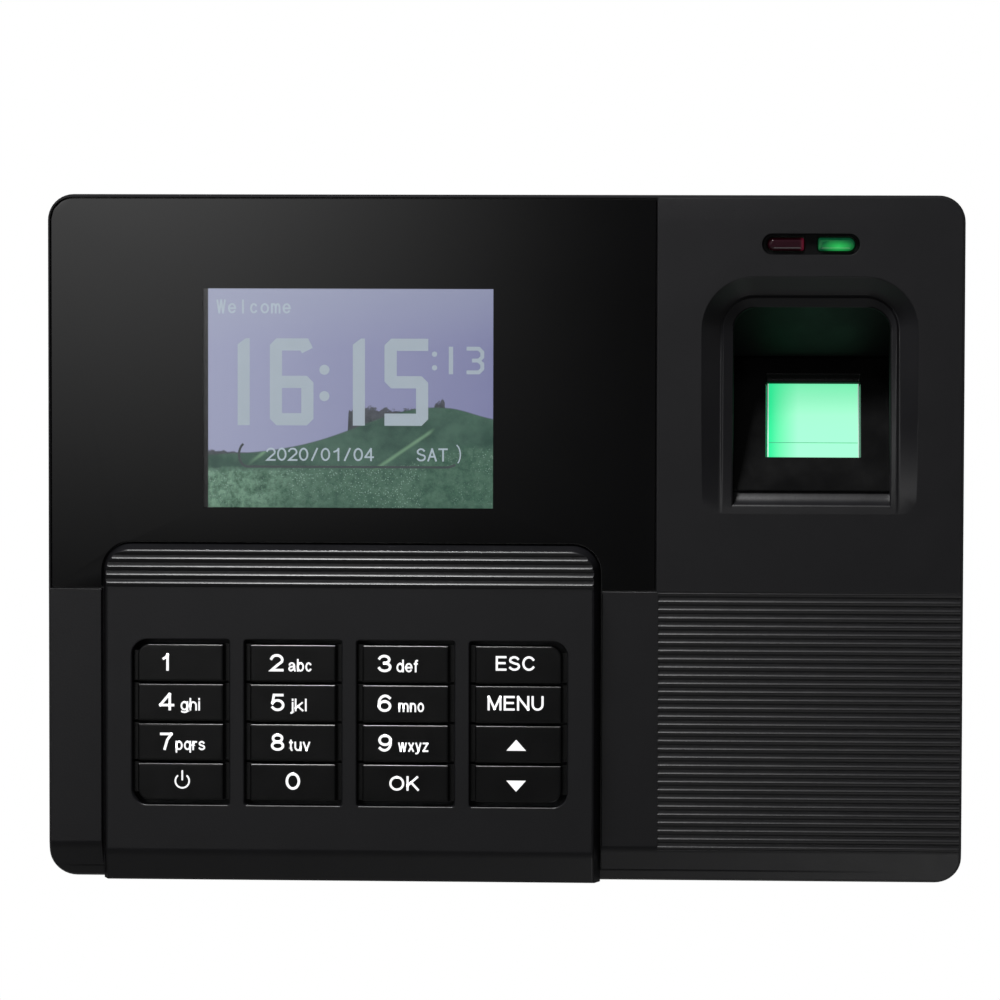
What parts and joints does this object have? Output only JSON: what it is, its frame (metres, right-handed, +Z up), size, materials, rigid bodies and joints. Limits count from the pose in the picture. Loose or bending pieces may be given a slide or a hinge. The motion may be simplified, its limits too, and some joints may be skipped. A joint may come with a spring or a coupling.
{
  "type": "fingerprint scanner terminal",
  "caption": "Wall-mounted fingerprint time terminal: colour display behind a gloss window, raised keypad panel with sprung keys, slanted fingerprint reader in a finger rest, status lights.",
  "frame": {"origin": "centre of the wall bracket's flat back face, level with the middle of the case in width and height", "axes": "+X to the right seen from the front, +Y into the wall, +Z up; the keypad and display face -Y"},
  "size_m": [0.182, 0.0367, 0.1366],
  "materials": {
    "case_plastic": "fine spark-eroded matte black ABS",
    "panel_plastic": "fine matte black ABS, slightly lighter than the case",
    "window_gloss": "back-printed black acrylic, mirror gloss, clear over the display",
    "key_plastic": "satin black key caps with white printed legends",
    "cover_gloss": "polished black cover round the reader",
    "prism_glass": "optical glass lit green from behind",
    "display_glass": "lit colour display behind the window",
    "display_steel": "stamped display frame",
    "lens_red": "clear red light guide, unlit",
    "lens_green": "clear green light guide, lit",
    "silicone_rubber": "moulded grey silicone rubber",
    "circuit_board": "green solder resist on glass-epoxy board",
    "flex_film": "amber polyimide flexible cable",
    "moulded_black": "glass-filled black moulding",
    "chip_epoxy": "black epoxy chip package",
    "cell_steel": "nickel-plated cell can",
    "socket_steel": "tin-plated socket shell",
    "speaker_steel": "pressed steel basket",
    "speaker_paper": "black treated paper cone",
    "magnet_ferrite": "sintered ferrite",
    "bracket_steel": "zinc-plated sheet steel",
    "screw_steel": "zinc-plated steel",
    "screw_black": "black oxide steel"
  },
  "bodies": {
    "root": {"front_housing": "case_plastic", "rear_housing": "case_plastic", "window_panel": "window_gloss", "keypad_panel": "panel_plastic", "keypad_membrane": "silicone_rubber", "keypad_board": "circuit_board", "keypad_cable": "flex_film", "keypad_screw_left": "screw_steel", "keypad_screw_right": "screw_steel", "lcd_glass": "display_glass", "lcd_frame": "display_steel", "lcd_cable": "flex_film", "led_lens_red": "lens_red", "led_lens_green": "lens_green", "led_board": "circuit_board", "sensor_cover": "cover_gloss", "sensor_prism": "prism_glass", "sensor_body": "moulded_black", "sensor_lens": "moulded_black", "sensor_board": "circuit_board", "sensor_cable": "flex_film", "sensor_screw_left": "screw_steel", "sensor_screw_right": "screw_steel", "main_board": "circuit_board", "processor": "chip_epoxy", "memory_chip": "chip_epoxy", "cell_holder": "moulded_black", "backup_cell": "cell_steel", "usb_socket": "socket_steel", "dc_socket": "moulded_black", "speaker_frame": "speaker_steel", "speaker_cone": "speaker_paper", "speaker_magnet": "magnet_ferrite", "wall_bracket": "bracket_steel", "bracket_screw": "screw_steel", "board_screw_1": "screw_steel", "case_screw_1": "screw_black", "board_screw_2": "screw_steel", "case_screw_2": "screw_black", "board_screw_3": "screw_steel", "case_screw_3": "screw_black", "board_screw_4": "screw_steel", "case_screw_4": "screw_black"},
    "key_1_body": {"key_1": "key_plastic"},
    "key_4_body": {"key_4": "key_plastic"},
    "key_7_body": {"key_7": "key_plastic"},
    "key_power_body": {"key_power": "key_plastic"},
    "key_2_body": {"key_2": "key_plastic"},
    "key_5_body": {"key_5": "key_plastic"},
    "key_8_body": {"key_8": "key_plastic"},
    "key_0_body": {"key_0": "key_plastic"},
    "key_3_body": {"key_3": "key_plastic"},
    "key_6_body": {"key_6": "key_plastic"},
    "key_9_body": {"key_9": "key_plastic"},
    "key_ok_body": {"key_ok": "key_plastic"},
    "key_esc_body": {"key_esc": "key_plastic"},
    "key_menu_body": {"key_menu": "key_plastic"},
    "key_up_body": {"key_up": "key_plastic"},
    "key_down_body": {"key_down": "key_plastic"}
  },
  "joints": [
    {"name": "key_1_press", "type": "slide", "parent": "root", "child": "key_1_body", "axis": [0, 1, 0], "range_m": [0, 0.0009], "stiffness_N_per_m": 700, "springref_m": -0.0008, "deforming": ["keypad_membrane"]},
    {"name": "key_4_press", "type": "slide", "parent": "root", "child": "key_4_body", "axis": [0, 1, 0], "range_m": [0, 0.0009], "stiffness_N_per_m": 700, "springref_m": -0.0008, "deforming": ["keypad_membrane"]},
    {"name": "key_7_press", "type": "slide", "parent": "root", "child": "key_7_body", "axis": [0, 1, 0], "range_m": [0, 0.0009], "stiffness_N_per_m": 700, "springref_m": -0.0008, "deforming": ["keypad_membrane"]},
    {"name": "key_power_press", "type": "slide", "parent": "root", "child": "key_power_body", "axis": [0, 1, 0], "range_m": [0, 0.0009], "stiffness_N_per_m": 700, "springref_m": -0.0008, "deforming": ["keypad_membrane"]},
    {"name": "key_2_press", "type": "slide", "parent": "root", "child": "key_2_body", "axis": [0, 1, 0], "range_m": [0, 0.0009], "stiffness_N_per_m": 700, "springref_m": -0.0008, "deforming": ["keypad_membrane"]},
    {"name": "key_5_press", "type": "slide", "parent": "root", "child": "key_5_body", "axis": [0, 1, 0], "range_m": [0, 0.0009], "stiffness_N_per_m": 700, "springref_m": -0.0008, "deforming": ["keypad_membrane"]},
    {"name": "key_8_press", "type": "slide", "parent": "root", "child": "key_8_body", "axis": [0, 1, 0], "range_m": [0, 0.0009], "stiffness_N_per_m": 700, "springref_m": -0.0008, "deforming": ["keypad_membrane"]},
    {"name": "key_0_press", "type": "slide", "parent": "root", "child": "key_0_body", "axis": [0, 1, 0], "range_m": [0, 0.0009], "stiffness_N_per_m": 700, "springref_m": -0.0008, "deforming": ["keypad_membrane"]},
    {"name": "key_3_press", "type": "slide", "parent": "root", "child": "key_3_body", "axis": [0, 1, 0], "range_m": [0, 0.0009], "stiffness_N_per_m": 700, "springref_m": -0.0008, "deforming": ["keypad_membrane"]},
    {"name": "key_6_press", "type": "slide", "parent": "root", "child": "key_6_body", "axis": [0, 1, 0], "range_m": [0, 0.0009], "stiffness_N_per_m": 700, "springref_m": -0.0008, "deforming": ["keypad_membrane"]},
    {"name": "key_9_press", "type": "slide", "parent": "root", "child": "key_9_body", "axis": [0, 1, 0], "range_m": [0, 0.0009], "stiffness_N_per_m": 700, "springref_m": -0.0008, "deforming": ["keypad_membrane"]},
    {"name": "key_ok_press", "type": "slide", "parent": "root", "child": "key_ok_body", "axis": [0, 1, 0], "range_m": [0, 0.0009], "stiffness_N_per_m": 700, "springref_m": -0.0008, "deforming": ["keypad_membrane"]},
    {"name": "key_esc_press", "type": "slide", "parent": "root", "child": "key_esc_body", "axis": [0, 1, 0], "range_m": [0, 0.0009], "stiffness_N_per_m": 700, "springref_m": -0.0008, "deforming": ["keypad_membrane"]},
    {"name": "key_menu_press", "type": "slide", "parent": "root", "child": "key_menu_body", "axis": [0, 1, 0], "range_m": [0, 0.0009], "stiffness_N_per_m": 700, "springref_m": -0.0008, "deforming": ["keypad_membrane"]},
    {"name": "key_up_press", "type": "slide", "parent": "root", "child": "key_up_body", "axis": [0, 1, 0], "range_m": [0, 0.0009], "stiffness_N_per_m": 700, "springref_m": -0.0008, "deforming": ["keypad_membrane"]},
    {"name": "key_down_press", "type": "slide", "parent": "root", "child": "key_down_body", "axis": [0, 1, 0], "range_m": [0, 0.0009], "stiffness_N_per_m": 700, "springref_m": -0.0008, "deforming": ["keypad_membrane"]}
  ]
}
